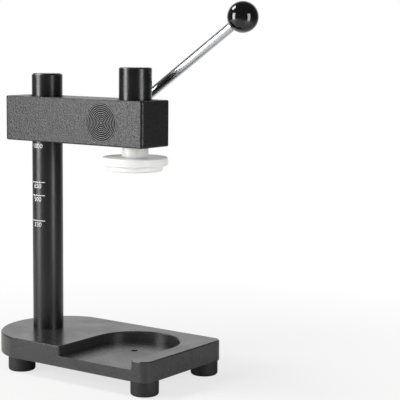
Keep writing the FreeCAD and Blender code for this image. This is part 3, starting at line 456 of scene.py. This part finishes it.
YAW = 0.620
PITCH = 0.124
ROLL = 0.009
forward = Vector((-math.sin(YAW) * math.cos(PITCH), math.cos(YAW) * math.cos(PITCH),
                  -math.sin(PITCH)))
level = Vector((math.cos(YAW), math.sin(YAW), 0))
upright = level.cross(forward)
right = level * math.cos(ROLL) + upright * math.sin(ROLL)
above = upright * math.cos(ROLL) - level * math.sin(ROLL)
camera_data = bpy.data.cameras.new("camera")
camera_data.sensor_width = 36
camera_data.lens = 118.465
camera_data.clip_end = 20
camera = bpy.data.objects.new("camera", camera_data)
camera.matrix_world = Matrix.Translation((0.76366, -0.96456, 0.29856)) @ Matrix(
    (right, above, -forward)).transposed().to_4x4()
bpy.context.scene.collection.objects.link(camera)
bpy.context.scene.camera = camera

middle = Vector((cad_box[0][0] + cad_box[1][0], cad_box[0][1] + cad_box[1][1], 0)) / 2
middle.z = 0.12


# The backdrop is white paper behind the object, hung up and laid forward under it. The rest of the
# room is dim. Both limits are the cosine of the angle from the middle of the paper.
ROOM_LIGHT = 0.14
ROOM_GLOW = 0.1
PAPER_EDGE = 0.55
PAPER_FULL = 0.95
TO_PAPER = (forward.x, forward.y, 0.0)


def on_paper(tree, direction, low):
    """1 in the directions where the paper hangs, falling to low where it ends."""
    towards = add_node(tree, "ShaderNodeVectorMath", operation="DOT_PRODUCT",
                       links={0: direction}, values={1: TO_PAPER})
    edge = add_node(tree, "ShaderNodeMapRange", interpolation_type="SMOOTHSTEP",
                    links={"Value": towards.outputs["Value"]},
                    values={"From Min": PAPER_EDGE, "From Max": PAPER_FULL, "To Min": low,
                            "To Max": 1.0})
    return edge.outputs["Result"]


def pale_ground():
    """White studio paper: it takes the object's shadow and fades into the backdrop."""
    finish, tree, shader, place = new_material("studio_paper", "f4f4f3", 0.7)
    emboss(tree, shader, noise(tree, place, 4, 2.0), 0.01)
    output = next(node for node in tree.nodes if node.bl_idname == "ShaderNodeOutputMaterial")
    white = add_node(tree, "ShaderNodeEmission", values={"Color": (1, 1, 1, 1), "Strength": 1.0})
    away = add_node(tree, "ShaderNodeVectorMath", operation="LENGTH", links={0: place})
    fade = spread(tree, away.outputs["Value"], 0.12, 0.5, 0.72, 1.0)
    path = add_node(tree, "ShaderNodeLightPath")
    outward = add_node(tree, "ShaderNodeVectorMath", operation="NORMALIZE", links={0: place})
    mirrored = add_node(tree, "ShaderNodeMath", operation="MULTIPLY",
                        links={0: path.outputs["Is Glossy Ray"],
                               1: on_paper(tree, outward.outputs["Vector"], 0.0)})
    seen = add_node(tree, "ShaderNodeMath", operation="MAXIMUM",
                    links={0: path.outputs["Is Camera Ray"], 1: mirrored.outputs["Value"]})
    share = add_node(tree, "ShaderNodeMath", operation="MULTIPLY",
                     links={0: fade, 1: seen.outputs["Value"]})
    blend = add_node(tree, "ShaderNodeMixShader",
                     links={0: share.outputs["Value"], 1: shader.outputs["BSDF"],
                            2: white.outputs["Emission"]})
    tree.links.new(blend.outputs["Shader"], output.inputs["Surface"])
    return finish


ground_mesh = bpy.data.meshes.new("ground")
shape = bmesh.new()
bmesh.ops.create_circle(shape, cap_ends=True, segments=96, radius=4.0)
bmesh.ops.translate(shape, verts=shape.verts, vec=(middle.x, middle.y, cad_box[0][2] - 0.00005))
shape.to_mesh(ground_mesh)
shape.free()
ground = bpy.data.objects.new("ground", ground_mesh)
bpy.context.scene.collection.objects.link(ground)
ground_mesh.materials.append(pale_ground())

world = bpy.data.worlds.new("studio")
world.use_nodes = True
bpy.context.scene.world = world
room = world.node_tree
room.nodes.clear()
path = add_node(room, "ShaderNodeLightPath")
seen = add_node(room, "ShaderNodeMath", operation="MAXIMUM",
                links={0: path.outputs["Is Glossy Ray"], 1: path.outputs["Is Transmission Ray"]})
ray = add_node(room, "ShaderNodeTexCoord").outputs["Generated"]
mirrored = add_node(room, "ShaderNodeMix", data_type="FLOAT",
                    links={0: seen.outputs["Value"], 3: on_paper(room, ray, ROOM_GLOW)},
                    values={2: ROOM_LIGHT})
glow = add_node(room, "ShaderNodeMix", data_type="FLOAT",
                links={0: path.outputs["Is Camera Ray"], 2: mirrored.outputs[0]}, values={3: 1.0})
sky = add_node(room, "ShaderNodeBackground", values={"Color": (1, 1, 1, 1)},
               links={"Strength": glow.outputs[0]})
add_node(room, "ShaderNodeOutputWorld", links={"Surface": sky.outputs["Background"]})


def soft_lamp(name, azimuth, elevation, distance, width, height, power):
    """A rectangular softbox that faces the object; azimuth is counted from the camera's side."""
    lamp = bpy.data.lights.new(name, "AREA")
    lamp.shape = "RECTANGLE"
    lamp.size = width
    lamp.size_y = height
    lamp.energy = power
    turn = math.radians(azimuth) + YAW - math.pi / 2
    tilt = math.radians(elevation)
    away = Vector((math.cos(turn) * math.cos(tilt), math.sin(turn) * math.cos(tilt),
                   math.sin(tilt)))
    item = bpy.data.objects.new(name, lamp)
    item.location = middle + away * distance
    item.rotation_euler = (-away).to_track_quat("-Z", "Y").to_euler()
    bpy.context.scene.collection.objects.link(item)
    return item


soft_lamp("left_softbox", -68, 10, 1.3, 0.5, 1.0, 17.5)
soft_lamp("right_softbox", 47, 10, 0.8, 0.24, 0.6, 3.2)
soft_lamp("top_softbox", -112, 53, 1.3, 0.45, 0.4, 7)
